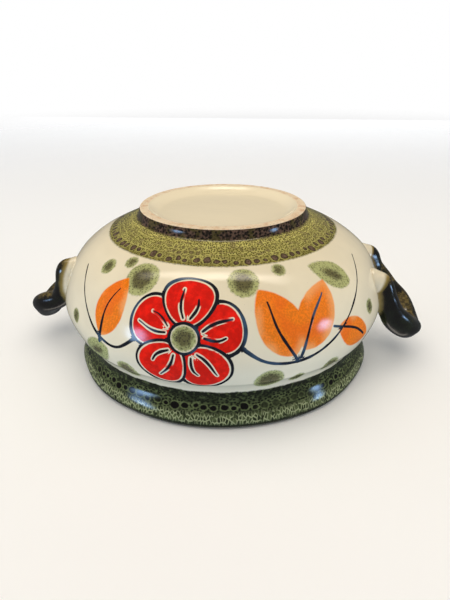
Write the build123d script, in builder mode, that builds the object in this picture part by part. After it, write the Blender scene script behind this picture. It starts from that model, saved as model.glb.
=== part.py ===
"""Two-handled rice bowl: a thrown stoneware bowl on a foot ring, with two looped ear handles.

The bowl stands upright on its foot ring. +Z points to the mouth, the handles lie on the X axis,
and the origin is the middle of the foot ring's resting face. Lengths are in millimetres.
"""
import os
from build123d import *

os.makedirs("parts", exist_ok=True)

# Driving dimensions
rim_radius = 75.0           # outside of the collar at its widest
bowl_height = 77.8          # resting face to the top of the rim
belly_radius = 79.4         # widest part of the bowl
belly_height = 44.8         # height of the widest part
foot_radius = 40.5          # outside of the foot ring
foot_height = 5.0           # where the foot ring's wall has turned out into the shoulder
foot_face_width = 4.5       # flat resting face of the foot ring
foot_recess_depth = 3.0     # underside of the floor above the table
foot_edge_radius = 0.9      # rounded edges of the foot ring
crease_radius = 76.9        # where the belly turns in to the neck
crease_height = 52.9
neck_radius = 70.8          # narrowest part below the collar
neck_height = 63.0
wall = 5.2                  # wall thickness of the belly
rim_wall = 4.4              # wall thickness at the rim
floor_thickness = 6.0

# Handles: a rolled coil bent to a loop, thin where it joins the wall and fat at the grip
handle_spread = 16.5        # legs of the loop to each side of the X axis
grip_reach = 97.0           # middle of the grip from the bowl's axis
grip_height = 61.2
leg_size = (9.2, 10.0)      # coil across and along the wall at the legs
grip_size = (12.6, 14.4)    # coil at the middle of the grip


def at(profile_radius, height):
    """A point of a turned profile, drawn on the XZ plane."""
    return (profile_radius, height)


# Outline of the bowl's outside, from the foot ring to the rim
foot_top = at(foot_radius + 0.6, foot_height - 1.2)
shoulder_start = at(foot_radius + 1.9, foot_height)
shoulder = [shoulder_start, at(51.4, 8.9), at(62.8, 14.8), at(72.5, 23.8), at(77.1, 33.0),
            at(belly_radius, belly_height), at(crease_radius, crease_height)]
neck = [at(crease_radius, crease_height), at(neck_radius, neck_height),
        at(rim_radius, bowl_height - 3.1)]
rim_outer = at(rim_radius - 0.8, bowl_height - 0.9)
rim_top = at(rim_radius - rim_wall / 2, bowl_height)
rim_inner = at(rim_radius - rim_wall, bowl_height - 1.4)

# Outline of the bowl's inside, from the middle of the floor to the rim
floor_height = foot_recess_depth + floor_thickness
inside = [at(0, floor_height), at(38.0, floor_height + 1.2), at(60.5, 21.5),
          at(belly_radius - wall, belly_height), at(neck_radius - wall, neck_height + 0.5), rim_inner]

face_inner = foot_radius - foot_face_width
recess_corner = at(face_inner - 1.2, foot_recess_depth)


def outside_lines():
    """The outside outline, from the resting face's outer edge to the top of the rim."""
    Line(at(foot_radius - foot_edge_radius, 0), at(foot_radius, foot_edge_radius))
    Line(at(foot_radius, foot_edge_radius), foot_top)
    Spline(foot_top, shoulder_start, tangents=[(0.15, 1), (1, 0.42)])
    Spline(*shoulder, tangents=[(1, 0.42), (-0.42, 1)])
    Spline(*neck, tangents=[(-0.95, 1), (0.12, 1)])
    Spline(neck[-1], rim_outer, rim_top, tangents=[(0, 1), (-1, 0)])


# Bowl body: wall, floor, foot ring and collar are one thrown piece
with BuildPart() as bowl_body:
    with BuildSketch(Plane.XZ):
        with BuildLine():
            outside_lines()
            Spline(rim_top, rim_inner, tangents=[(-1, 0), (-0.1, -1)])
            Spline(*inside, tangents=[(1, 0), (0.1, 1)])
            Line(inside[0], at(0, foot_recess_depth + 0.4))
            Spline(at(0, foot_recess_depth + 0.4), recess_corner, tangents=[(1, 0), (1, -0.1)])
            Line(recess_corner, at(face_inner, foot_edge_radius))
            Line(at(face_inner, foot_edge_radius), at(face_inner + foot_edge_radius, 0))
            Line(at(face_inner + foot_edge_radius, 0), at(foot_radius - foot_edge_radius, 0))
        make_face()
    revolve(axis=Axis.Z)

# The same outside, filled, so that the handles end on the wall
with BuildPart() as bowl_outside:
    with BuildSketch(Plane.XZ):
        with BuildLine():
            outside_lines()
            Polyline(rim_top, at(0, bowl_height), at(0, 0), at(foot_radius - foot_edge_radius, 0))
        make_face()
    revolve(axis=Axis.Z)

# Middle line of one half of a handle, from the wall to the grip: (out, to the side, up)
root = Vector(72.0, handle_spread - 1.5, 29.6)
leg_low = Vector(77.0, handle_spread - 0.2, 31.8)
leg_high = Vector(80.3, handle_spread, 40.0)
turn = Vector(84.4, handle_spread - 1.6, 48.0)
flare = Vector(grip_reach - 4.5, handle_spread * 0.73, grip_height - 6.3)
grip = Vector(grip_reach, 0, grip_height)
half_loop = [root, leg_low, leg_high, turn, flare, grip]
loop = half_loop + [Vector(p.X, -p.Y, p.Z) for p in reversed(half_loop[:-1])]

# Where along the loop the coil is measured, and how far it has fattened there (0 leg, 1 grip)
fattening = [(0.0, 0.05), (0.1, 0.0), (0.22, 0.0), (0.33, 0.35), (0.42, 0.85), (0.5, 1.0)]
stations = fattening + [(1 - s, f) for s, f in reversed(fattening[:-1])]

# Right handle: the coil's oval sections stand square to its middle line, long side up the wall
with BuildPart() as right_handle:
    with BuildLine():
        path = Spline(*loop)
    for along, fat in stations:
        across = leg_size[0] + fat * (grip_size[0] - leg_size[0])
        tall = leg_size[1] + fat * (grip_size[1] - leg_size[1])
        middle = path @ along
        outward = middle - Vector(0, 0, belly_height)
        with BuildSketch(Plane(origin=middle, x_dir=outward, z_dir=path % along)):
            Ellipse(tall / 2, across / 2)
    loft()
    add(bowl_outside.part, mode=Mode.SUBTRACT)

with BuildPart() as left_handle:
    add(right_handle.part.rotate(Axis.Z, 180))

bowl_body.part.label = "bowl_body"
right_handle.part.label = "right_handle"
left_handle.part.label = "left_handle"
export_step(bowl_body.part, "parts/bowl_body.step")
export_step(right_handle.part, "parts/right_handle.step")
export_step(left_handle.part, "parts/left_handle.step")
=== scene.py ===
"""Two-handled rice bowl: glazed stoneware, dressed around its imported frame.

The bowl stands upright at the origin. The camera is turned over, because this kind of bowl is
shown standing on its rim, and a second floor lies under its foot for the upright views.
"""
import math

import bpy
import numpy as np
from bpy.props import FloatProperty, FloatVectorProperty, IntProperty, PointerProperty
from bpy.types import Operator, Panel, PropertyGroup
from mathutils import Matrix, Vector


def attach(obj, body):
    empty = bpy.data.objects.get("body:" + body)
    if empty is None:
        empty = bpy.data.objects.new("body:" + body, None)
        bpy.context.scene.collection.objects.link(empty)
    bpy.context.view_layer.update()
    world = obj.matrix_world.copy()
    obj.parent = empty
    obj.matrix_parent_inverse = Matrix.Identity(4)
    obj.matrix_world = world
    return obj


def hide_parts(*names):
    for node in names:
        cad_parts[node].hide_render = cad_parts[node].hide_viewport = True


bl_info = {
    "name": "Two-Handled Rice Bowl",
    "version": (1, 0, 0),
    "blender": (4, 5, 0),
    "location": "View3D > Sidebar > Rice Bowl",
    "description": "Builds a painted stoneware rice bowl with two ear handles",
    "category": "Add Mesh",
}

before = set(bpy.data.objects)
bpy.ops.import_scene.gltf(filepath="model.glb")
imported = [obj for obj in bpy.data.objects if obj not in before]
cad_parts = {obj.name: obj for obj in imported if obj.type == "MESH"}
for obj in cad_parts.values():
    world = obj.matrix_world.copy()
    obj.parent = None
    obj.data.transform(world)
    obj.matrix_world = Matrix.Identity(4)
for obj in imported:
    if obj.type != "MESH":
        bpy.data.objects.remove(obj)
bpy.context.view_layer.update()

MM = 0.001


# ---------------- sizes and colours

def linear(red, green, blue):
    """An sRGB colour, each part from 0 to 255, as the linear values that Blender keeps."""
    parts = [c / 255 for c in (red, green, blue)]
    return tuple(c / 12.92 if c <= 0.04045 else ((c + 0.055) / 1.055) ** 2.4 for c in parts)


def colour(name, description, *srgb):
    return FloatVectorProperty(name=name, description=description, default=linear(*srgb),
                               subtype="COLOR", size=3, min=0.0, max=1.0)


def number(name, description, default, unit="NONE"):
    return FloatProperty(name=name, description=description, default=default, unit=unit, min=0.0)


class BowlShape(PropertyGroup):
    """Sizes of the thrown body, in millimetres."""
    steps_around: IntProperty(name="Steps around", description="Faces round the bowl", default=720)
    unevenness: number("Unevenness", "How far the thrown wall wanders", 0.28)
    throwing_ring: number("Throwing ring", "Spacing of the faint rings inside", 4.2)


class HandleShape(PropertyGroup):
    """Sizes of the rolled handles, in millimetres."""
    leg_thickness: number("Leg thickness", "Coil across the wall at the legs", 9.2)
    leg_width: number("Leg width", "Coil along the wall at the legs", 10.0)
    grip_thickness: number("Grip thickness", "Coil through the grip", 12.6)
    grip_width: number("Grip width", "Coil across the grip", 14.4)
    weld: number("Weld", "How far the coil is smoothed on to the wall", 4.5)


class GlazeColours(PropertyGroup):
    """Colours of the glazes, the clay and the paints."""
    cream: colour("Cream", "Glaze of the belly and the inside", 234, 221, 190)
    moss: colour("Moss", "Reactive glaze, its bright net", 180, 171, 94)
    fern: colour("Fern", "Reactive glaze, its middle tone", 120, 112, 52)
    bark: colour("Bark", "Spots that open in the reactive glaze", 88, 68, 56)
    # Pine also gives the collar's groove its painted shade
    pine: colour("Pine", "Collar glaze where it pools", 38, 42, 24)
    sage: colour("Sage", "Collar glaze, its lighter streaks", 98, 106, 66)
    tar: colour("Tar", "Darkest glaze, on the foot and the handles", 30, 24, 18)
    # Amber also carries painted warm light on the handles' side towards the foot
    amber: colour("Amber", "Where the dark glaze thins on an edge", 130, 110, 56)
    straw: colour("Straw", "Pale strands below the lip", 160, 164, 118)
    clay: colour("Clay", "Bare clay of the resting face", 228, 208, 176)
    toast: colour("Toast", "Clay that the kiln has browned", 212, 174, 132)
    red: colour("Red", "Flower petals", 240, 30, 14)
    orange: colour("Orange", "Leaves beside the flower", 248, 126, 8)
    rust: colour("Rust", "Orange paint laid twice", 240, 96, 4)
    peach: colour("Peach", "Orange paint that thins", 246, 172, 104)
    olive: colour("Olive", "Sponged dots and leaves", 168, 170, 108)
    ink: colour("Ink", "Brushed outlines and stems", 24, 26, 32)
    thin_ink: colour("Thin ink", "Where the outlines' brush ran thin", 66, 92, 116)


class StudioLight(PropertyGroup):
    """Colours of the floors, levels of the lamps and the camera's lens."""
    floor: colour("Floor", "Floor under the rim", 250, 250, 248)
    shelf: colour("Shelf", "Floor under the foot", 255, 250, 240)
    top: number("Top", "Broad soft light above", 1.16)
    front: number("Front", "Broad cool light in front", 0.5)
    side: number("Sides and back", "Broad soft lights round the bowl", 0.52)
    strip: number("Strip", "Long thin lamp above, seen only as a glint", 0.27)
    window: number("Windows", "Two small cool windows, seen only as glints", 0.95)
    ambient: number("Ambient", "Light from all round", 0.32)
    lens: number("Lens", "Focal length on a 36 mm frame", 30.67, "CAMERA")


# ---------------- the turned outline

BELLY_HEIGHT = 44.8
BELLY_RADIUS = 79.4
FOOT_HEIGHT = 5.0  # where the foot ring's wall turns out into the shoulder
BAND_EDGE = 10.8  # height where the foot's green band ends
NECK_EDGE = 60.4  # height where the collar's green starts
RIM_HEIGHT = 77.8
PAINT_LOW, PAINT_HIGH = BAND_EDGE - 0.6, NECK_EDGE + 1.0  # the painted wall, with the finest faces

# Points of the outline in millimetres (radius, height)
UNDERSIDE = [(0.0, 3.4), (17.0, 3.38), (28.5, 3.25), (31.2, 2.97), (33.3, 2.1), (36.0, 0.06)]
FOOT_FACE = [(36.9, 0.04), (38.3, 0.0), (39.6, 0.04)]
FOOT_WALL = [(40.2, 0.35), (40.5, 0.9), (40.75, 2.2), (41.1, 3.8)]
FILLET = [(41.1, 3.8), (42.4, FOOT_HEIGHT)]
SHOULDER = [(42.4, FOOT_HEIGHT), (51.4, 8.9), (62.8, 14.8), (72.5, 23.8), (77.1, 33.0),
            (BELLY_RADIUS, BELLY_HEIGHT), (76.9, 52.9)]
COLLAR = [(76.9, 52.9), (70.8, 63.0), (75.0, 74.7)]
RIM = [(75.0, 74.7), (74.2, 76.9), (72.8, RIM_HEIGHT), (71.3, 77.6), (70.6, 76.4)]
INSIDE = [(70.6, 76.4), (65.6, 63.5), (74.2, BELLY_HEIGHT), (60.5, 21.5), (38.0, 10.2), (0.0, 9.0)]

# Directions of the outline (radius, height) where one stretch ends
FOOT_LEAN, SHOULDER_LEAN, CREASE_LEAN = (0.15, 1), (1, 0.42), (-0.42, 1)
NECK_LEAN, RIM_LEAN, INSIDE_LEAN = (-0.95, 1), (0.12, 1), (-0.1, -1)
LEVEL_OUT, RECESS_LEAN, LEVEL_IN = (1, 0), (1, -0.76), (-1, 0)


def curve_through(points, start=None, end=None, steps=60):
    """A smooth line through points. It starts and ends in the given directions, or straight on."""
    pts = np.array(points, float)
    start = pts[1] - pts[0] if start is None else start
    end = pts[-1] - pts[-2] if end is None else end
    gaps = np.linalg.norm(np.diff(pts, axis=0), axis=1)
    slopes = np.zeros_like(pts)
    slopes[0] = np.array(start) / np.linalg.norm(start)
    slopes[-1] = np.array(end) / np.linalg.norm(end)
    for i in range(1, len(pts) - 1):
        before = (pts[i] - pts[i - 1]) / gaps[i - 1]
        after = (pts[i + 1] - pts[i]) / gaps[i]
        slopes[i] = (before * gaps[i] + after * gaps[i - 1]) / (gaps[i - 1] + gaps[i])
    out = [pts[:1]]
    t = np.linspace(0, 1, steps + 1)[1:, None]
    for i, gap in enumerate(gaps):
        a, b = pts[i], pts[i + 1]
        ma, mb = slopes[i] * gap, slopes[i + 1] * gap
        out.append((2 * t**3 - 3 * t**2 + 1) * a + (t**3 - 2 * t**2 + t) * ma
                   + (3 * t**2 - 2 * t**3) * b + (t**3 - t**2) * mb)
    return np.vstack(out)


def along(line):
    """Distance along a line at each of its points."""
    return np.concatenate([[0], np.cumsum(np.linalg.norm(np.diff(line, axis=0), axis=1))])


def spaced(line, rows):
    """The line again, as rows + 1 points evenly spaced along it."""
    s = along(line)
    at = np.linspace(0, s[-1], rows + 1)
    return np.column_stack([np.interp(at, s, part) for part in line.T])


# The outside from the top of the foot ring's wall to the collar's widest ring
OUTSIDE = np.vstack([curve_through(FILLET, FOOT_LEAN, SHOULDER_LEAN),
                     curve_through(SHOULDER, SHOULDER_LEAN, CREASE_LEAN)[1:],
                     curve_through(COLLAR, NECK_LEAN, RIM_LEAN)[1:]])


def outside_radius(height):
    """Radius of the outside at a height, in millimetres."""
    return np.interp(height, OUTSIDE[:, 1], OUTSIDE[:, 0])


def outside_walk(height):
    """Distance along the outside at a height, in millimetres."""
    return np.interp(height, OUTSIDE[:, 1], along(OUTSIDE))


def rows_between(low, high, rows):
    """The stretch of the outside between two heights, as rows + 1 evenly spaced points."""
    keep = OUTSIDE[(OUTSIDE[:, 1] > low) & (OUTSIDE[:, 1] < high)]
    ends = [(outside_radius(z), z) for z in (low, high)]
    return spaced(np.vstack([ends[:1], keep, ends[1:]]), rows)


def turned_outline():
    """Points of the whole closed outline, from under the floor round to the inside's middle."""
    underside = curve_through(UNDERSIDE, LEVEL_OUT, RECESS_LEAN)
    slope = underside[:, 0] > UNDERSIDE[2][0]
    return np.vstack([spaced(underside[~slope], 4), spaced(underside[slope], 8),
                      FOOT_FACE, FOOT_WALL[:-1],
                      rows_between(FILLET[0][1], FOOT_HEIGHT, 4),
                      rows_between(FOOT_HEIGHT, PAINT_LOW, 7)[1:],
                      rows_between(PAINT_LOW, PAINT_HIGH, 75)[1:],
                      rows_between(PAINT_HIGH, COLLAR[-1][1], 13)[1:],
                      spaced(curve_through(RIM, RIM_LEAN, INSIDE_LEAN), 6)[1:],
                      spaced(curve_through(INSIDE, INSIDE_LEAN, LEVEL_IN), 13)[1:]])


# ---------------- painting on the wall

FRONT = math.radians(-96.7)  # the side that faces the camera
WHEEL_RADIUS = 55.0  # radius at which the glaze patterns' spacing round the bowl is true
FACE_REACH = 0.55  # from a painted face's middle to its corners
MARGIN = 4.0  # how far past a shape its distances are kept
FAR = 9.0  # the distance kept where no paint is near
NO_LINE = (FAR, 0.0, FAR, 0.5)  # the same for a line: its way, how far it is and its half width
OUTLINE = 0.62  # half width of a brushed outline

# One side's painting, in millimetres round and down from its middle at the belly's height.
# A stem is its points and its half width at even steps along it.
STEMS = [([(4, 12), (17, 3), (33, 1), (50, 7), (64, 19), (73, 33)], (0.8, 0.75, 0.65, 0.6, 0.5, 0.4)),
         ([(-36, 10), (-48, 3), (-60, 6), (-70, 17), (-74, 29)], (0.8, 0.7, 0.6, 0.5, 0.4))]
# A leaf is its middle, length, width, lean in degrees and, where it is olive, the depth of its dark heart
ORANGE_LEAVES = [(23.5, 18, 31, 19, 112), (42, 18, 31, 18, 56), (63, 4, 25, 13, -28), (-54, 19, 28, 16, 78)]
OLIVE_LEAVES = [(60, 32, 21, 13, 140, 4.2), (-62, -4, 22, 12, 205, 4.0)]
# A dot is its middle and its size
DOTS = [(10, 36, 12.5), (31, 40, 6.0), (19, -8, 13.0), (33, -11, 7.0), (50, -9, 9.0), (78, 10, 6.5),
        (-43, 34, 15.0), (-56, 40, 6.0), (-44, -9, 11.0), (-79, 6, 6.5), (-69, 34, 7.5)]
# A petal's ribs: how far to the side and how far out they reach, in flower sizes
RIBS = [(-0.085, 0.33), (0.062, 0.41)]
PETALS = 5


def unrolled(azimuth, height):
    """A place on the wall as its angle round from FRONT and the millimetres down from the belly."""
    turn = (FRONT - azimuth + math.pi) % math.tau - math.pi
    return turn, outside_walk(BELLY_HEIGHT) - outside_walk(height)


def leaned(x, y, lean):
    """A place, told along and across a direction that leans by an angle."""
    cos, sin = math.cos(lean), math.sin(lean)
    return x * cos + y * sin, y * cos - x * sin


class Layers:
    """What is painted, in millimetres.

    A field is a distance, below zero inside the paint. A line keeps the way from each vertex to its
    middle, how far that is, and its half width, so that it stays whole where it is thinner than a face.
    """

    def __init__(self, turn, down, radius):
        self.turn, self.down, self.radius = turn, down, radius
        self.fields = {name: np.full(len(turn), FAR) for name in ("red", "orange", "olive", "sponge")}
        self.lines = {name: np.full((len(turn), len(NO_LINE)), NO_LINE) for name in ("ink", "rib")}

    def near(self, around, down, size, lean=0.0):
        """Vertices near a shape about a spot, and their places along and across its lean."""
        x = (self.turn - around / BELLY_RADIUS) * self.radius
        y = self.down - down
        pick = np.nonzero(np.maximum(np.abs(x), np.abs(y)) < size + MARGIN)[0]
        return pick, *leaned(x[pick], y[pick], lean)

    def clear(self, pick, shape):
        """Keeps what was painted before out of a shape."""
        for field in self.fields.values():
            field[pick] = np.maximum(field[pick], -shape)
        for line in self.lines.values():
            line[pick[shape < 0]] = NO_LINE

    def lay(self, name, pick, shape):
        field = self.fields[name]
        field[pick] = np.minimum(field[pick], shape)

    def line(self, name, pick, way_x, way_y, half):
        reach = np.hypot(way_x, way_y)
        line = self.lines[name]
        nearer = reach < line[pick, 2]
        laid = np.column_stack([way_x, way_y, reach, np.broadcast_to(half, reach.shape)])
        line[pick[nearer]] = laid[nearer]

    def stroke(self, around, down, points, widths, name="ink"):
        """A brush stroke through points, with half widths at even steps along it."""
        pick, x, y = self.near(around, down, np.abs(points).max())
        line = curve_through(points, steps=10)
        walk = along(line)
        half = np.interp(walk, np.linspace(0, walk[-1], len(widths)), widths)
        for a, b, half_a, half_b in zip(line[:-1], line[1:], half[:-1], half[1:]):
            run = b - a
            t = np.clip(((x - a[0]) * run[0] + (y - a[1]) * run[1]) / (run @ run), 0, 1)
            self.line(name, pick, x - a[0] - t * run[0], y - a[1] - t * run[1],
                      half_a + t * (half_b - half_a))

    def blob(self, name, around, down, length, width, lean=0.0, egg=0.0, outline=0.0, halo=0.0,
             core=0.0, trim=True):
        """An oval of paint.

        Egg makes one end fuller, outline rings it, halo leaves a gap inside that ring, core darkens its
        middle and trim keeps what was painted before out of it.
        """
        pick, u, v = self.near(around, down, max(length, width), lean)
        half_length = length / 2
        half_width = np.maximum(width / 2 * (1 + egg * u / half_length), 0.5)
        k = np.sqrt((u / half_length) ** 2 + (v / half_width) ** 2)
        grow_u, grow_v = u / half_length ** 2, v / half_width ** 2
        grow = np.maximum(np.hypot(grow_u, grow_v), 1e-6)
        shape = np.where(grow > 1e-5, k * (k - 1) / grow, -min(length, width) / 2)
        if trim:
            self.clear(pick, shape)
        self.lay(name, pick, shape + halo)
        if outline:
            self.line("ink", pick, *leaned(shape * grow_u / grow, shape * grow_v / grow, -lean), outline)
        if core:
            self.lay("sponge", pick, shape + core)


def flower(paint, around, down, size, turn=0.0):
    """Five broad petals round a sponged eye, each with two brushed ribs."""
    leans = [turn + i * math.tau / PETALS for i in range(PETALS)]
    for lean in leans[::2] + leans[1::2]:
        x, y = leaned(size * 0.30, 0.0, -lean)
        paint.blob("red", around + x, down + y, size * 0.43, size * 0.44, lean, egg=0.2,
                   outline=OUTLINE, halo=1.15)
    for lean in leans:
        for side, length in RIBS:
            places = ((0.165, side * 0.4), (0.225, side * 0.82), (0.28, side), (length, side * 0.92))
            rib = [leaned(size * out, size * aside, -lean) for out, aside in places]
            paint.stroke(around, down, rib, (0.45, 0.6, 0.5, 0.3), name="rib")
    paint.blob("olive", around, down, size * 0.25, size * 0.25, outline=OUTLINE, halo=1.0, core=2.4)


def leaf(paint, name, around, down, length, width, degrees, core=0.0):
    """An almond of paint, fuller towards its foot, with a brushed midrib or a dark heart."""
    lean = math.radians(degrees)
    pick, u, v = paint.near(around, down, length, lean)
    half, side = length / 2, width / 2
    u = u + 0.12 * half * (1 - (u / half) ** 2).clip(-1)
    arc = (half**2 + side**2) / (2 * side)
    shape = np.hypot(u, np.abs(v) + arc - side) - arc
    paint.lay(name, pick, shape)
    if core:
        paint.lay("sponge", pick, shape + core)
    else:
        places = ((-1.2 * half, 0.0), (0.0, 0.06 * length), (0.6 * half, 0.0))
        paint.stroke(around, down, [leaned(*place, -lean) for place in places], (0.75, 0.6, 0.35))


def garland(paint, middle):
    """One side's painting: a flower, stems with orange leaves, olive leaves and sponged dots."""
    for points, widths in STEMS:
        paint.stroke(middle, 0, points, widths)
    for x, y, *shape in ORANGE_LEAVES:
        leaf(paint, "orange", middle + x, y, *shape)
    for x, y, *shape in OLIVE_LEAVES:
        leaf(paint, "olive", middle + x, y, *shape)
    for x, y, size in DOTS:
        heart = size * (0.2 if y > 20 else 0.13)
        paint.blob("olive", middle + x, y, size, size * 1.06, core=heart, trim=False)
    flower(paint, middle - 16, 13, 48, math.radians(16))


# ---------------- meshes

def add_field(mesh, name, values, domain="POINT"):
    """Keeps a number or a vector for each vertex or face corner."""
    kind, key = ("FLOAT", "value") if values.ndim == 1 else ("FLOAT_VECTOR", "vector")
    mesh.attributes.new(name, kind, domain).data.foreach_set(key, values.astype(np.float32).ravel())


def add_object(name, data):
    made = bpy.data.objects.new(name, data)
    bpy.context.scene.collection.objects.link(made)
    return made


def mesh_object(name, verts, faces):
    mesh = bpy.data.meshes.new(name)
    mesh.from_pydata([tuple(v) for v in verts], [], faces)
    mesh.update()
    mesh.shade_smooth()
    return add_object(name, mesh)


def soft_noise(points, scale, seed):
    """Smooth noise from a few fixed waves, between about -1 and 1."""
    rng = np.random.default_rng(seed)
    total = np.zeros(len(points))
    for _ in range(9):
        direction = rng.normal(size=3)
        direction /= np.linalg.norm(direction)
        wave = scale * rng.uniform(0.7, 1.5)
        start = rng.uniform(0, math.tau)
        total += np.sin(points @ direction * math.tau / wave + start)
    return total / 3.2


def ring_faces(rings, around, first=0):
    """Faces between rings of vertices that follow each other from the first."""
    faces = []
    for a in range(first, first + (rings - 1) * around, around):
        b = a + around
        for k in range(around):
            n = (k + 1) % around
            faces.append((a + k, a + n, b + n, b + k))
    return faces


def lathe(outline, around):
    """Vertices and faces of a turned shape whose outline starts and ends on its axis.

    It also returns each face corner's column and row; a seam's far side counts as one more column.
    """
    rings = outline[1:-1]
    angles = np.tile(np.arange(around) * math.tau / around, len(rings))
    r, z = np.repeat(rings, around, axis=0).T
    first, last = (0, 0, outline[0, 1]), (0, 0, outline[-1, 1])
    verts = np.vstack([first, np.column_stack([r * np.cos(angles), r * np.sin(angles), z]), last])
    end = len(verts) - 1
    last_row = len(outline) - 1
    last_ring = 1 + (len(rings) - 1) * around
    faces, corners = [], []
    for k in range(around):
        n = (k + 1) % around
        faces += [(0, 1 + n, 1 + k), (end, last_ring + k, last_ring + n)]
        corners += [(k + 0.5, 0), (k + 1, 1), (k, 1)]
        corners += [(k + 0.5, last_row), (k, last_row - 1), (k + 1, last_row - 1)]
    for row in range(1, len(rings)):
        for k in range(around):
            corners += [(k, row), (k + 1, row), (k + 1, row + 1), (k, row + 1)]
    return verts, faces + ring_faces(len(rings), around, 1), np.array(corners, float)


WANDER_SPAN = 46.0  # how far apart the thrown wall's swells are
WANDER_FLOOR = 6.0  # height of the foot, which stays true
WANDER_RADIUS = 60.0  # radius from which the wall wanders in full
RING_DEPTH = 0.05  # half the height of a throwing ring
RINGS_TOP = 62.0  # height where the throwing rings end
CLAY_EDGES = (36.2, 40.4)  # radii between which the resting face is bare
NO_GLAZE, NO_CLAY = -30.0, -5.0  # distances kept well outside a glaze and the bare clay


def thrown(verts, walk_from_rim, outer, shape):
    """The wall's vertices as a hand leaves them: a little out of true, with rings inside."""
    x, y, height = verts.T
    share = np.clip(np.hypot(x, y) / WANDER_RADIUS, 0, 1) * (height > WANDER_FLOOR)
    wander = soft_noise(verts, WANDER_SPAN, 3) * shape.unevenness * share
    azimuth = np.arctan2(y, x)
    ringed = ~outer & (height < RINGS_TOP)
    rings = np.sin(walk_from_rim * math.tau / shape.throwing_ring) * RING_DEPTH * ringed
    return verts + np.column_stack([np.cos(azimuth) * wander, np.sin(azimuth) * wander, rings])


def keep_paint(mesh, radius, azimuth, height, outer):
    """Paints both sides, and keeps the paint's distances on the outside of the mesh."""
    paint = Layers(*unrolled(azimuth, height), radius)
    for middle in (0.0, math.pi * BELLY_RADIUS):
        garland(paint, middle)
    painted = outer & (height > BAND_EDGE - 1) & (height < NECK_EDGE + 2)
    for name, field in paint.fields.items():
        add_field(mesh, name, np.where(painted, field, FAR))
    for name, line in paint.lines.items():
        add_field(mesh, name, np.where(painted[:, None], line[:, :3], FAR))
        add_field(mesh, name + "_half", line[:, 3])


def build_body(shape, glazes):
    """The thrown bowl, with its paint and its glazes' edges kept as distances on the mesh."""
    outline = turned_outline()
    verts, faces, corners = lathe(outline, shape.steps_around)
    x, y, height = verts.T
    radius, azimuth = np.hypot(x, y), np.arctan2(y, x)
    ring_rows = np.repeat(np.arange(1, len(outline) - 1), shape.steps_around)
    rows = np.concatenate([[0], ring_rows, [len(outline) - 1]])
    rim_row = np.argmax(outline[:, 1])
    foot_row = np.argmin(np.hypot(*(outline - FOOT_WALL[0]).T))
    outer = rows <= rim_row
    walk = along(outline)
    from_rim = walk - walk[rim_row]

    piece = mesh_object("glazed_body", thrown(verts, from_rim[rows], outer, shape) * MM, faces)
    mesh = piece.data
    keep_paint(mesh, radius, azimuth, height, outer)
    band_walk, neck_walk = outside_walk(BAND_EDGE), outside_walk(NECK_EDGE)
    here = walk - walk[foot_row + len(FOOT_WALL) - 1]
    outside = np.arange(len(outline)) <= rim_row
    band = np.where(outside, band_walk - here, NO_GLAZE)
    collar = np.where(outside, here, here[rim_row] - from_rim) - neck_walk
    add_field(mesh, "band", band[rows])
    add_field(mesh, "collar", collar[rows])
    add_field(mesh, "foot", np.where(outer, FOOT_HEIGHT - 0.3 - height, NO_GLAZE))
    add_field(mesh, "under", np.where(outer & (rows < foot_row), 1.0, 0.0))
    resting = outer & (height < 0.6)
    clay = np.minimum(radius - CLAY_EDGES[0], CLAY_EDGES[1] - radius)
    add_field(mesh, "bare", np.where(resting, clay, NO_CLAY))
    column, row = corners.T
    turned = column * math.tau / shape.steps_around * WHEEL_RADIUS
    wheel = np.column_stack([turned, here[row.astype(int)], np.zeros(len(row))])
    add_field(mesh, "wheel", wheel, "CORNER")
    mesh.materials.append(body_glaze(glazes, band_walk, neck_walk))
    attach(piece, "root")
    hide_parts("bowl_body")


# Each coil's middle line from root to root, in millimetres (out, to the side, up), and its fullness:
# 0 as a leg, 1 as the grip, and below 0 where the end is sunk in the wall
LEFT_COIL = [(69.0, -15.0, 27.6, -1.1), (75.2, -17.0, 29.4, -0.15), (79.0, -17.2, 37.0, -0.05),
             (86.0, -15.5, 46.0, 0.13), (92.8, -12.4, 54.2, 0.6), (95.4, 0.0, 61.0, 0.97),
             (91.0, 12.0, 55.8, 0.9), (84.4, 15.4, 48.4, 0.6), (80.3, 16.5, 40.0, 0.15),
             (77.0, 16.3, 31.8, 0.0), (69.5, 14.4, 29.6, -0.9)]
RIGHT_COIL = [(68.5, 11.6, 31.6, -0.9), (74.4, 12.8, 33.2, -0.1), (78.4, 13.2, 40.5, -0.05),
              (84.6, 12.2, 48.0, 0.1), (92.6, 9.2, 54.2, 0.55), (97.6, 0.0, 59.8, 0.96),
              (93.5, -10.6, 53.5, 0.7), (83.2, -14.9, 47.6, 0.0), (79.2, -16.4, 39.0, -0.1),
              (76.8, -16.6, 30.8, -0.05), (69.5, -14.4, 29.6, -0.9)]
# How far the cream reaches out from the wall, at distances along the coil from its end, and how much
# further on the side towards the foot
LEFT_CREAM = [(5.0, 6.0), (8.0, 4.4), (11.0, 0.5), (60.0, 0.0)]
RIGHT_CREAM = [(8.0, 3.2), (14.0, 2.9), (22.0, 1.6), (28.0, 0.6), (34.0, 0.0)]
LEFT_SLANT, RIGHT_SLANT = 1.7, 0.0
FIRST_END = 1.5  # how much sooner the cream's reach runs out at the coil's first end
CURVE_STEPS = 24  # steps between two points of a middle line, before it is spaced evenly
LOOP_STEPS, COIL_STEPS = 150, 48
LUMP_SPAN = 12.0  # how far apart a coil's lumps are
LUMPS = (0.03, 0.07)  # the lumps' height, in half thicknesses, on a leg and on the grip
GRIP_SLIMMER = 0.025  # how much the grip is drawn in, so that its lumps stay within the coil's size
WELD_SWELL = 0.34  # how much fuller a coil is where it meets the wall
WELD_TOP, WELD_FADE = 46.0, 8.0  # height where that ends, and over how far it fades


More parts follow.
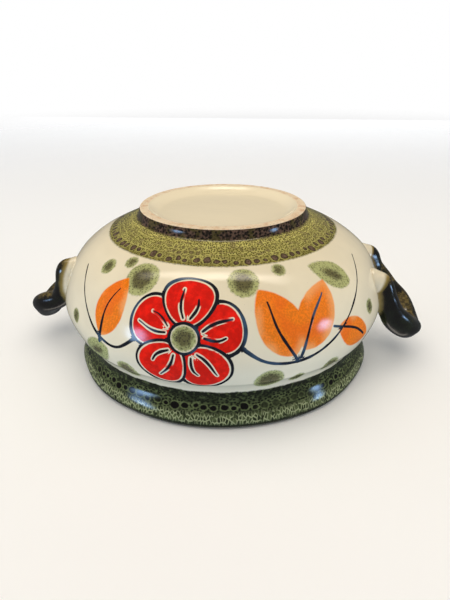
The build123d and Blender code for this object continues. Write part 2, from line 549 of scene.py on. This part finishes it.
def coil_line(coil):
    """Evenly spaced points of a coil's middle line, their fullness, and how far along it they are."""
    coil = np.array(coil)
    line = curve_through(coil[:, :3], steps=CURVE_STEPS)
    s = along(line)
    at = np.linspace(0, s[-1], LOOP_STEPS + 1)
    full = np.interp(at, s[::CURVE_STEPS], coil[:, 3])
    full = np.convolve(np.pad(full, 4, mode="edge"), np.ones(9) / 9, "valid")
    return spaced(line, LOOP_STEPS), full, at


def coil_surface(middle, full, shape):
    """Vertices of oval rings square to a middle line, and how far each faces the foot, from -1 to 1."""
    thick = shape.leg_thickness + full * (shape.grip_thickness - shape.leg_thickness)
    wide = shape.leg_width + full * (shape.grip_width - shape.leg_width)
    tangent = np.gradient(middle, axis=0)
    tangent /= np.linalg.norm(tangent, axis=1, keepdims=True)
    away = middle - np.array([0, 0, BELLY_HEIGHT])
    away -= (away * tangent).sum(1, keepdims=True) * tangent
    away /= np.linalg.norm(away, axis=1, keepdims=True)
    across = np.cross(tangent, away)
    angles = np.arange(COIL_STEPS) * math.tau / COIL_STEPS
    outward = np.cos(angles)[:, None] * away[:, None]
    aside = np.sin(angles)[:, None] * across[:, None]
    verts = middle[:, None] + outward * wide[:, None, None] / 2 + aside * thick[:, None, None] / 2
    return verts.reshape(-1, 3), -(outward + aside)[..., 2].ravel()


def coil_faces(rings):
    """Faces between the rings of a coil, and one over each end."""
    faces = [(a, d, c, b) for a, b, c, d in ring_faces(rings, COIL_STEPS)]
    last = (rings - 1) * COIL_STEPS
    return faces + [tuple(range(COIL_STEPS)), tuple(range(last + COIL_STEPS - 1, last - 1, -1))]


def wall_gap(verts):
    """How far vertices stand out from the bowl's wall, in millimetres."""
    return np.hypot(verts[:, 0], verts[:, 1]) - outside_radius(verts[:, 2])


def build_handle(name, side, shape, glazes, coil, cream, slant, seed):
    """A rolled coil bent to a loop, fat and lumpy at the grip and smoothed on to the wall."""
    middle, full, at = coil_line(coil)
    verts, footward = coil_surface(middle, full, shape)
    ring_of = np.repeat(np.arange(len(middle)), COIL_STEPS)
    plump = np.clip(full, 0, 1)[ring_of]
    lump = soft_noise(verts, LUMP_SPAN, seed) * np.interp(plump, (0, 1), LUMPS) - plump * GRIP_SLIMMER
    verts += (verts - middle[ring_of]) * lump[:, None]
    swell = np.clip(1 - np.maximum(wall_gap(verts), 0) / shape.weld, 0, 1) ** 2
    low = np.clip((WELD_TOP - verts[:, 2]) / WELD_FADE, 0, 1)
    verts += (verts - middle[ring_of]) * (swell * WELD_SWELL * low)[:, None]
    from_end = np.minimum(at * FIRST_END, at[-1] - at)[ring_of]
    glazed = wall_gap(verts) - np.interp(from_end, *np.transpose(cream)) - slant * footward
    verts[:, :2] *= side
    piece = mesh_object(name, verts * MM, coil_faces(len(middle)))
    add_field(piece.data, "glazed", glazed)
    add_field(piece.data, "footward", footward)
    piece.data.materials.append(handle_glaze(glazes))
    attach(piece, "root")
    return piece


# ---------------- materials

class Nodes:
    """Short calls for the shader nodes of a material, a lamp or the world.

    A noise or cells come so many to a metre, or on the wheel in millimetres round and up the bowl.
    """

    def __init__(self, owner):
        owner.use_nodes = True
        self.owner = owner
        self.tree = owner.node_tree
        self.tree.nodes.clear()

    def node(self, kind, inputs=None, **settings):
        made = self.tree.nodes.new("ShaderNode" + kind)
        for key, value in settings.items():
            setattr(made, key, value)
        for key, value in (inputs or {}).items():
            self.set(made.inputs[key], value)
        return made

    def set(self, socket, value):
        if isinstance(value, bpy.types.NodeSocket):
            self.tree.links.new(value, socket)
        elif value is not None:
            wide = socket.type == "RGBA" and len(value) == 3
            socket.default_value = (*value, 1.0) if wide else value

    def field(self, name, output="Fac"):
        return self.node("Attribute", attribute_name=name).outputs[output]

    def parts(self, vector):
        return self.node("SeparateXYZ", inputs={0: vector}).outputs

    def math(self, operation, a, b=None, clamp=False):
        made = self.node("Math", operation=operation, use_clamp=clamp, inputs={0: a, 1: b})
        return made.outputs[0]

    def plus(self, a, b):
        return self.math("ADD", a, b)

    def minus(self, a, b):
        return self.math("SUBTRACT", a, b)

    def times(self, a, b):
        return self.math("MULTIPLY", a, b)

    def length(self, x, y):
        return self.math("SQRT", self.plus(self.times(x, x), self.times(y, y)))

    def vector(self, operation, a, b=None, c=None):
        made = self.node("VectorMath", operation=operation, inputs={0: a, 1: b, 2: c})
        return made.outputs["Value" if operation == "LENGTH" else "Vector"]

    def step(self, value, low, high):
        """0 below low and 1 above high, smooth between. low may be above high."""
        return self.node("MapRange", interpolation_type="SMOOTHSTEP",
                         inputs={"Value": value, "From Min": low, "From Max": high}).outputs[0]

    def swing(self, noise, width):
        """A noise between 0 and 1 as a swing about zero, so wide in all."""
        return self.times(self.minus(noise, 0.5), width)

    def mix(self, share, a, b):
        return self.node("Mix", data_type="RGBA", inputs={"Factor": share, 6: a, 7: b}).outputs[2]

    def tones(self, share, colour, low, high):
        """A colour that goes from one shade of itself to another."""
        return self.mix(share, shade(colour, low), shade(colour, high))

    def lay(self, base, colour, value, low, high, most=None):
        """A colour laid over another: none of it below low, and all or most of it above high."""
        share = self.step(value, low, high)
        return self.mix(share if most is None else self.times(share, most), base, colour)

    def line(self, name):
        """Distance in millimetres from the edge of a brushed line, below zero inside it."""
        x, y, reach = self.parts(self.field(name, "Vector"))
        away = self.math("MAXIMUM", self.length(x, y), self.minus(reach, FACE_REACH))
        return self.minus(away, self.field(name + "_half"))

    def place(self):
        return self.node("TexCoord").outputs["Object"]

    def noise(self, scale, detail=2.0, rough=0.5, place=None, dimensions="3D"):
        made = self.node("TexNoise", noise_dimensions=dimensions,
                         inputs={"Vector": place or self.place(), "Scale": scale, "Detail": detail,
                                 "Roughness": rough})
        return made.outputs["Fac"]

    def cells(self, scale, place=None, dimensions="3D", feature="F1", randomness=1.0):
        """Distance to the nearest cell's middle or edge, in cell widths."""
        made = self.node("TexVoronoi", voronoi_dimensions=dimensions, feature=feature,
                         inputs={"Vector": place or self.place(), "Scale": scale, "Randomness": randomness})
        return made.outputs["Distance"]

    def wheel(self, wide, tall):
        return self.vector("MULTIPLY", self.field("wheel", "Vector"), (1 / wide, 1 / tall, 0.0))

    def wheel_cells(self, wide, tall, feature="F1", randomness=1.0):
        return self.cells(1.0, self.wheel(wide, tall), "2D", feature, randomness)

    def wheel_noise(self, wide, tall, detail=2.0, rough=0.5):
        return self.noise(1.0, detail, rough, self.wheel(wide, tall), "2D")

    def bump(self, height, strength, distance, normal=None):
        made = self.node("Bump", inputs={"Height": height, "Strength": strength, "Distance": distance,
                                         "Normal": normal})
        return made.outputs[0]

    def mix_shader(self, share, a, b):
        return self.node("MixShader", inputs={0: share, 1: a, 2: b}).outputs[0]

    def finish(self, colour, roughness, normal, **sockets):
        shader = self.node("BsdfPrincipled", inputs={"Base Color": colour, "Roughness": roughness,
                                                     "Normal": normal, **sockets})
        self.node("OutputMaterial", inputs={"Surface": shader.outputs[0]})
        return self.owner


def shade(colour, factor):
    return tuple(min(1.0, c * factor) for c in colour)


GLAZE_ROUGHNESS, HANDLE_ROUGHNESS, CLAY_ROUGHNESS = 0.07, 0.2, 0.72
HANDLE_GLOSS = {"Specular IOR Level": 0.8, "Coat Weight": 0.5, "Coat Roughness": 0.08}
GLAZE_SWELL, PAINT_RELIEF = 0.8 * MM, 0.12 * MM  # heights that a full bump stands for


def body_glaze(glazes, band_walk, neck_walk):
    """Cream glaze, painted and sponged, with the mottled green glaze of the foot and the collar."""
    n = Nodes(bpy.data.materials.new("body_glaze"))
    grain = n.noise(900, 3)
    wobble = n.swing(n.noise(320, 3), 0.55)
    ragged = n.swing(n.noise(900, 3, 0.6), 1.6)
    base = cream_glaze(n, glazes)
    base = sponged_olive(n, glazes, base, ragged)
    base = brushed_orange(n, glazes, base, wobble)
    base = brushed_red(n, glazes, base, wobble)
    base, ink = brushed_ink(n, glazes, base, wobble)

    band = n.field("band")
    band_share = n.step(n.plus(band, n.times(ragged, 0.8)), -0.6, 0.6)
    base = n.mix(band_share, base, foot_band(n, glazes, band, band_walk))
    foot_at = n.plus(n.field("foot"), n.times(ragged, 0.8))
    base = n.lay(base, foot_wall(n, glazes), foot_at, -0.8, 0.5)
    collar = n.field("collar")
    fringe = n.swing(n.wheel_noise(4.5, 9.0, 2), 1.5)
    collar_at = n.plus(n.plus(collar, fringe), n.times(ragged, 0.7))
    base = n.lay(base, collar_green(n, glazes, collar, neck_walk, ragged), collar_at, -0.6, 0.6)

    # Underneath: cream made a tenth lighter, painted light for the underside that faces the lamp above the
    # turned-over bowl, and bare clay on the resting face
    base = n.mix(n.field("under"), base, shade(glazes.cream, 1.1))
    bare = n.step(n.plus(n.field("bare"), n.times(ragged, 0.35)), -0.2, 0.25)
    clay = n.lay(glazes.clay, glazes.toast, n.noise(300, 4, 0.65), 0.42, 0.7)
    clay = n.lay(clay, glazes.bark, n.cells(800), 0.24, 0.12, 0.4)
    base = n.mix(bare, base, clay)

    rough = n.node("Mix", data_type="FLOAT",
                   inputs={"Factor": bare, 2: GLAZE_ROUGHNESS, 3: CLAY_ROUGHNESS}).outputs[0]
    relief = n.plus(n.times(ink, 0.35), n.times(n.times(grain, band_share), 0.3))
    relief = n.plus(relief, n.times(n.times(grain, bare), 1.2))
    normal = n.bump(n.noise(75, 2), 0.2, GLAZE_SWELL)
    return n.finish(base, rough, n.bump(relief, 0.35, PAINT_RELIEF, normal))


def cream_glaze(n, glazes):
    """Warmer and cooler in drifts, with faint specks of iron."""
    cream = n.tones(n.step(n.noise(55, 3), 0.3, 0.7), glazes.cream, 0.965, 1.03)
    return n.lay(cream, glazes.bark, n.cells(420), 0.09, 0.05, 0.16)


def sponged_olive(n, glazes, base, ragged):
    """Olive dabbed on with a sponge: grainy, feathered at the edge, with a dark heart."""
    grains = n.step(n.cells(1150), 0.2, 0.55)
    olive = n.tones(grains, glazes.olive, 0.42, 1.06)
    heart = n.tones(grains, glazes.fern, 0.07, 0.42)
    olive = n.lay(olive, heart, n.plus(n.field("sponge"), n.times(ragged, 2.6)), 1.4, -1.4, 0.95)
    return n.lay(base, olive, n.plus(n.field("olive"), ragged), 0.6, -0.6, 0.95)


def brushed_orange(n, glazes, base, wobble):
    """Orange that thins to peach in places round the edge of the stroke."""
    field = n.field("orange")
    full = n.tones(n.step(n.noise(1300, 2), 0.38, 0.64), glazes.orange, 0.84, 1.06)
    full = n.lay(full, glazes.rust, n.noise(75, 1), 0.5, 0.66, 0.5)
    dry = n.times(n.step(field, -5.0, -0.1), n.step(n.noise(60, 2), 0.46, 0.62))
    orange = n.mix(n.times(dry, 0.75), full, glazes.peach)
    return n.lay(base, orange, n.plus(field, wobble), 0.35, -0.35, 0.98)


def brushed_red(n, glazes, base, wobble):
    """Red, mottled and streaked by the brush, wiped away beside the ribs."""
    red = n.tones(n.step(n.noise(260, 4, 0.6), 0.38, 0.66), glazes.red, 0.74, 1.08)
    beside = n.step(n.plus(n.line("rib"), n.times(wobble, 0.4)), 0.45, 0.65)
    left = n.math("MAXIMUM", beside, n.step(n.noise(110, 1), 0.52, 0.6))
    return n.lay(base, red, n.plus(n.field("red"), wobble), 0.2, -0.2, left)


def brushed_ink(n, glazes, base, wobble):
    """Black outlines, bluish where the brush ran thin. Also returns where they are."""
    press = n.swing(n.noise(75, 2), 0.8)
    line = n.math("MINIMUM", n.line("ink"), n.line("rib"))
    share = n.step(n.plus(n.plus(line, n.times(wobble, 0.4)), press), 0.12, -0.12)
    thin = n.times(n.step(n.noise(60, 2), 0.53, 0.64), 0.7)
    return n.mix(share, base, n.mix(thin, glazes.ink, glazes.thin_ink)), share


def spot_row(n, edge, pitch, rise, size, start):
    """Distance in millimetres to the nearest spot of an uneven row round the bowl."""
    around, up, _ = n.parts(n.field("wheel", "Vector"))
    at = n.plus(n.math("DIVIDE", around, pitch), start)
    which = n.math("FLOOR", at)
    luck = n.node("TexWhiteNoise", noise_dimensions="1D", inputs={"W": which}).outputs["Color"]
    slip, lift, growth = n.parts(luck)
    x = n.times(n.minus(n.minus(n.minus(at, which), 0.5), n.swing(slip, 0.34)), pitch)
    y = n.minus(n.minus(up, edge + rise), n.swing(lift, size * 0.55))
    radius = n.times(n.plus(n.times(growth, 0.5), 0.55), size / 2)
    return n.minus(n.length(x, y), radius)


# Rows of spots in the foot's band and the collar: pitch, height from the green's edge, size and start
FAINT_SPOTS = [(3.6, -9.6, 1.9, 0.7), (3.1, -7.0, 1.8, 0.2), (2.9, -4.9, 1.7, 0.5)]
EDGE_SPOTS = (4.3, -2.7, 3.4, 0.0)
BEADS = (3.3, 8.0, 2.7, 0.0)


def foot_band(n, glazes, band, band_walk):
    """Pale web over dark pinholes, darker towards its edge, with rows of brown spots."""
    web = n.step(n.wheel_cells(1.15, 0.95, randomness=0.75), 0.2, 0.46)
    pale = n.tones(n.step(band, 9.0, 14.0), glazes.moss, 1.04, 1.42)
    green = n.mix(web, shade(glazes.fern, 0.3), pale)
    green = n.lay(green, shade(glazes.fern, 0.85), n.wheel_noise(16.0, 0.9, 3), 0.44, 0.64, 0.5)
    rusty = n.tones(web, glazes.bark, 0.6, 1.5)
    green = n.lay(green, rusty, n.wheel_noise(5.0, 2.2, 3, 0.6), 0.5, 0.68, 0.5)
    green = n.lay(green, n.tones(web, glazes.fern, 0.32, 1.0), band, 5.5, 1.0, 0.7)
    lump = n.swing(n.noise(430, 2), 2.0)
    patchy = n.times(n.step(n.wheel_noise(26.0, 9.0, 2), 0.5, 0.62), 0.7)
    brown = n.tones(n.step(n.noise(1100, 2), 0.4, 0.62), glazes.bark, 0.7, 1.6)
    for row in (*FAINT_SPOTS, EDGE_SPOTS):
        share = 0.95 if row is EDGE_SPOTS else patchy
        gap = n.plus(spot_row(n, band_walk, *row), lump)
        green = n.lay(green, pale, gap, 0.95, 0.35, n.times(share, 0.55))
        spot = n.lay(shade(glazes.bark, 0.35), brown, gap, -0.1, -0.6)
        green = n.lay(green, spot, gap, 0.3, -0.1, share)
    return green


def foot_wall(n, glazes):
    """Brown-black glaze, webbed and spotted where it has crawled."""
    bend = n.swing(n.noise(500, 2), 0.3)
    wall = n.lay(shade(glazes.tar, 1.1), shade(glazes.bark, 1.35), n.noise(850, 3), 0.34, 0.64)
    wall = n.lay(wall, shade(glazes.fern, 0.4), n.wheel_noise(9.0, 9.0, 2), 0.45, 0.65, 0.6)
    cells = n.plus(n.wheel_cells(2.6, 1.7, randomness=0.9), bend)
    return n.lay(wall, shade(glazes.tar, 0.7), cells, 0.36, 0.2, 0.9)


def collar_green(n, glazes, collar, neck_walk, ragged):
    """Black-green in the groove, from pooled glaze and painted shade, then a row of black beads, then pale
    streaks up to a dark lip.
    """
    up = n.plus(collar, ragged)
    pine, sage = glazes.pine, glazes.sage
    mottled = n.lay(shade(pine, 1.7), shade(sage, 0.9), n.wheel_noise(7.0, 3.0, 3), 0.36, 0.64)
    tone = n.lay(shade(pine, 0.6), mottled, n.wheel_cells(1.1, 1.0, randomness=0.9), 0.24, 0.6)
    under = n.lay(shade(pine, 1.2), shade(sage, 0.75), n.wheel_noise(1.4, 3.0, 2), 0.4, 0.6)
    strands = n.step(n.wheel_noise(2.2, 2.6, 3), 0.28, 0.5)
    web = n.wheel_cells(1.0, 2.3, "DISTANCE_TO_EDGE")
    tone = n.lay(tone, n.lay(under, glazes.straw, web, 0.2, 0.04, strands), up, 9.4, 12.0)
    # Darker by the neck: pooled glaze, and painted shade for the crease between the belly and the collar
    groove = n.lay(shade(pine, 0.5), shade(sage, 0.5), n.wheel_noise(1.8, 3.5, 3), 0.52, 0.7)
    tone = n.lay(tone, groove, up, 4.6, 2.0)
    shown = n.plus(n.times(n.step(n.wheel_noise(30.0, 40.0, 1), 0.36, 0.5), 0.4), 0.6)
    gap = n.plus(spot_row(n, neck_walk, *BEADS), n.swing(n.noise(430, 2), 0.8))
    tone = n.lay(tone, shade(sage, 1.5), gap, 0.8, 0.35, n.times(shown, 0.5))
    tone = n.lay(tone, shade(glazes.tar, 0.35), gap, 0.3, -0.15, shown)
    return n.lay(tone, shade(pine, 0.7), up, 14.4, 15.8)


def handle_glaze(glazes):
    """Dark gloss glaze over cream at the wall, amber on the side towards the foot: partly thinner glaze,
    partly painted warm light from the lamp above the turned-over bowl.
    """
    n = Nodes(bpy.data.materials.new("handle_glaze"))
    dark = n.lay(shade(glazes.tar, 0.45), shade(glazes.pine, 0.6), n.noise(130, 4, 0.6), 0.4, 0.7)
    # Amber on the side facing the foot: partly thinner glaze, partly painted warm light where the lamp
    # above the turned-over bowl falls
    thin = n.plus(n.field("footward"), n.swing(n.noise(190, 4, 0.65), 1.5))
    amber_glaze_and_painted_light = n.tones(n.step(n.noise(620, 3), 0.42, 0.62), glazes.amber, 0.35, 1.0)
    dark = n.lay(dark, amber_glaze_and_painted_light, thin, 0.45, 0.95, 0.8)
    edge = n.plus(n.field("glazed"), n.swing(n.noise(300, 4, 0.6), 1.3))
    cream = n.tones(n.step(n.noise(300), 0.4, 0.7), glazes.cream, 0.94, 1.0)
    base = n.lay(cream, n.lay(shade(glazes.amber, 1.25), dark, edge, 0.0, 2.8), edge, -1.6, 0.6)
    normal = n.bump(n.noise(130, 3), 0.4, GLAZE_SWELL)
    return n.finish(base, HANDLE_ROUGHNESS, normal, **HANDLE_GLOSS)


# ---------------- floors, lamps and camera

# In metres
FLOOR_REACH = 6.0
FLOOR_FADE = (0.26, 1.3)  # distances over which a floor fades to white
BOWL_MIDDLE = Vector((0, 0, 0.04))

COOL = linear(168, 208, 255)
PALE = linear(238, 244, 255)
WARM = linear(255, 244, 228)
SKY = linear(236, 240, 246)
MIRRORED = 0.35  # how much of the light from all round the glaze mirrors
BRIGHT_SIDE = 1.3  # level of the side with the large window, in levels of the other
SMALL_WINDOW = 0.6  # level of the small window, in levels of the large one
# The lamps above: name, way up, level and tint of the broad lamp, level and turn of the strip
TOPS = [("foot_up", -1, 1.0, WARM, 1.0, math.pi), ("rim_up", 1, 0.63, PALE, 0.1575, 0.0)]


def backdrop_paint(colour, turned):
    """A pale floor that only shows its front and fades to the white behind it."""
    n = Nodes(bpy.data.materials.new("backdrop_paint"))
    floor = n.node("BsdfDiffuse", inputs={"Color": colour, "Roughness": 0.0}).outputs[0]
    clear = n.node("BsdfTransparent").outputs[0]
    back = n.node("NewGeometry").outputs["Backfacing"]
    hidden = n.math("MAXIMUM", back, n.step(n.vector("LENGTH", n.place()), *FLOOR_FADE))
    if turned:
        # An upright view meets this floor first, and the turned view after the other floor
        passed = n.node("LightPath").outputs["Transparent Depth"]
        hidden = n.math("MAXIMUM", hidden, n.math("SUBTRACT", 1.0, passed, clamp=True))
    n.node("OutputMaterial", inputs={"Surface": n.mix_shader(hidden, floor, clear)})
    return n.owner


def build_floor(name, height, turned, colour):
    """A wide floor at a height. A turned one faces down, and lies under the bowl turned on its rim."""
    corners = [(-1, -1), (1, -1), (1, 1), (-1, 1)]
    verts = [(x * FLOOR_REACH, y * FLOOR_REACH, height * MM) for x, y in corners]
    floor = mesh_object(name, verts, [(3, 2, 1, 0) if turned else (0, 1, 2, 3)])
    floor.data.materials.append(backdrop_paint(colour, turned))
    for kind in ("diffuse", "glossy", "transmission", "shadow", "volume_scatter"):
        setattr(floor, "visible_" + kind, False)


def add_lamp(name, place, size, level, tint):
    """A broad lamp. Its level is the light that it adds to a white surface facing it."""
    lamp = bpy.data.lights.new(name, "AREA")
    lamp.shape = "RECTANGLE"
    lamp.size, lamp.size_y = size
    aim = BOWL_MIDDLE - Vector(place)
    lamp.energy = level * math.pi**2 * aim.length_squared
    lamp.color = tint
    holder = add_object(name, lamp)
    holder.location = place
    holder.rotation_euler = aim.to_track_quat("-Z", "Y").to_euler()
    holder.visible_camera = False
    holder.visible_glossy = False
    return holder


def add_glint(name, place, size, level, tint, core=1.0, ends=1.0, turn=None, spread=180):
    """A small lamp with soft edges that lights nothing and shows only as a glint in the glaze.

    A core above 1 gathers its light towards the middle, and ends above 1 keep it even along its length.
    """
    holder = add_lamp(name, place, size, level, tint)
    holder.visible_glossy = True
    holder.visible_diffuse = False
    if turn is not None:
        holder.rotation_euler = turn
    holder.data.spread = math.radians(spread)
    n = Nodes(holder.data)
    spot = n.node("NewGeometry").outputs["Parametric"]
    centred = n.vector("ABSOLUTE", n.vector("MULTIPLY_ADD", spot, (2, 2, 0), (-1, -1, 0)))
    shaped = n.vector("POWER", centred, (ends, 1, 1))
    fade = n.step(n.vector("LENGTH", shaped), 1.0, 0.1)
    glow = n.node("Emission", inputs={"Strength": n.math("POWER", fade, core)})
    n.node("OutputLight", inputs={"Surface": glow.outputs[0]})


def add_camera(lens):
    """The camera as it stands to a bowl turned over on its rim, and turned over with the bowl."""
    pitch, roll, yaw, bowl_turn = (math.radians(turn) for turn in (26.18, -0.30, 0.19, 6.7))
    away, above = 245.2 * MM, 142.5 * MM
    lip = Vector((0, 0, 74.745 * MM))
    turned_over = Matrix.Rotation(math.pi, 3, "Y") @ Matrix.Rotation(bowl_turn, 3, "Z")
    tilt = Matrix.Rotation(math.pi / 2 - pitch, 3, "X") @ Matrix.Rotation(roll, 3, "Z")
    data = bpy.data.cameras.new("camera")
    data.lens = lens
    data.sensor_width = 36.0
    data.clip_start = 0.01
    camera = add_object("camera", data)
    camera.matrix_world = (turned_over @ Matrix.Rotation(-yaw, 3, "Z") @ tilt).to_4x4()
    camera.location = turned_over @ Vector((0, -away, above)) + lip
    bpy.context.scene.camera = camera


def build_world(ambient):
    """White to the camera, a pale light on the bowl, and a fainter one mirrored in its glaze."""
    n = Nodes(bpy.data.worlds.new("studio"))
    lights = [n.node("Background", inputs={"Color": tint, "Strength": level}).outputs[0]
              for tint, level in (((1, 1, 1), 1.0), (SKY, ambient), (SKY, ambient * MIRRORED))]
    shown, light, mirrored = lights
    rays = n.node("LightPath").outputs
    unseen = n.mix_shader(rays["Is Glossy Ray"], light, mirrored)
    surface = n.mix_shader(rays["Is Camera Ray"], unseen, shown)
    n.node("OutputWorld", inputs={"Surface": surface})
    bpy.context.scene.world = n.owner


# ---------------- operators and panel

class RICEBOWL_OT_body(Operator):
    """Throw the body, glaze it and paint it"""
    bl_idname = "ricebowl.body"
    bl_label = "Bowl Body"

    def execute(self, context):
        build_body(context.scene.bowl_shape, context.scene.glaze_colours)
        return {"FINISHED"}


class RICEBOWL_OT_handles(Operator):
    """Roll the two ear handles and join them to the wall"""
    bl_idname = "ricebowl.handles"
    bl_label = "Handles"

    def execute(self, context):
        shape, glazes = context.scene.handle_shape, context.scene.glaze_colours
        left = build_handle("left_ear", -1, shape, glazes, LEFT_COIL, LEFT_CREAM, LEFT_SLANT, 21)
        right = build_handle("right_ear", 1, shape, glazes, RIGHT_COIL, RIGHT_CREAM, RIGHT_SLANT, 22)
        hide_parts("left_handle")
        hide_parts("right_handle")
        return {"FINISHED"}


class RICEBOWL_OT_stage(Operator):
    """Set the floors, the lamps, the camera and the view transform"""
    bl_idname = "ricebowl.stage"
    bl_label = "Studio"

    def execute(self, context):
        studio = context.scene.studio_light
        build_floor("floor_under_rim", RIM_HEIGHT, True, studio.floor)
        build_floor("floor_under_foot", 0.0, False, studio.shelf)
        add_lamp("front", (0.0, -0.85, 0.5), (1.2, 0.8), studio.front, COOL)
        add_lamp("back", (0.0, 1.0, 0.02), (1.2, 0.8), studio.side, PALE)
        add_lamp("side_a", (1.0, -0.1, 0.0), (1.0, 0.8), studio.side * BRIGHT_SIDE, PALE)
        add_lamp("side_b", (-1.0, 0.0, 0.02), (1.0, 0.8), studio.side, PALE)
        add_glint("window_a", (0.72, -0.57, 0.0), (0.62, 0.34), studio.window, COOL, core=3.0)
        small = studio.window * SMALL_WINDOW
        add_glint("window_b", (-0.88, -0.25, -0.01), (0.36, 0.32), small, COOL, core=3.0)
        for name, way, broad, tint, narrow, turn in TOPS:
            top, strip = BOWL_MIDDLE.z + way * 0.8, BOWL_MIDDLE.z + way * 0.66
            add_lamp("top_" + name, (0.0, -0.15, top), (1.3, 1.3), studio.top * broad, tint)
            add_glint("strip_" + name, (0.09, 0.04, strip), (1.06, 0.2), studio.strip * narrow, WARM,
                      ends=6.0, turn=(turn, 0.0, 0.0), spread=90)
        build_world(studio.ambient)
        add_camera(studio.lens)
        context.scene.view_settings.view_transform = "Standard"
        return {"FINISHED"}


class RICEBOWL_PT_panel(Panel):
    """Steps that build the bowl, in order"""
    bl_label = "Rice Bowl"
    bl_idname = "RICEBOWL_PT_panel"
    bl_space_type = "VIEW_3D"
    bl_region_type = "UI"
    bl_category = "Rice Bowl"

    def draw(self, context):
        layout = self.layout
        for group in GROUPS:
            box = layout.box()
            settings = getattr(context.scene, group)
            for name in settings.__annotations__:
                box.prop(settings, name)
        for step in STEPS:
            layout.operator(step.bl_idname)


GROUPS = {"bowl_shape": BowlShape, "handle_shape": HandleShape,
          "glaze_colours": GlazeColours, "studio_light": StudioLight}
STEPS = (RICEBOWL_OT_body, RICEBOWL_OT_handles, RICEBOWL_OT_stage)
CLASSES = (*GROUPS.values(), *STEPS, RICEBOWL_PT_panel)


def register():
    for made in CLASSES:
        bpy.utils.register_class(made)
    for name, group in GROUPS.items():
        setattr(bpy.types.Scene, name, PointerProperty(type=group))


def unregister():
    for name in GROUPS:
        delattr(bpy.types.Scene, name)
    for made in reversed(CLASSES):
        bpy.utils.unregister_class(made)


def main():
    register()
    bpy.ops.ricebowl.body()
    bpy.ops.ricebowl.handles()
    bpy.ops.ricebowl.stage()


if __name__ == "__main__":
    main()
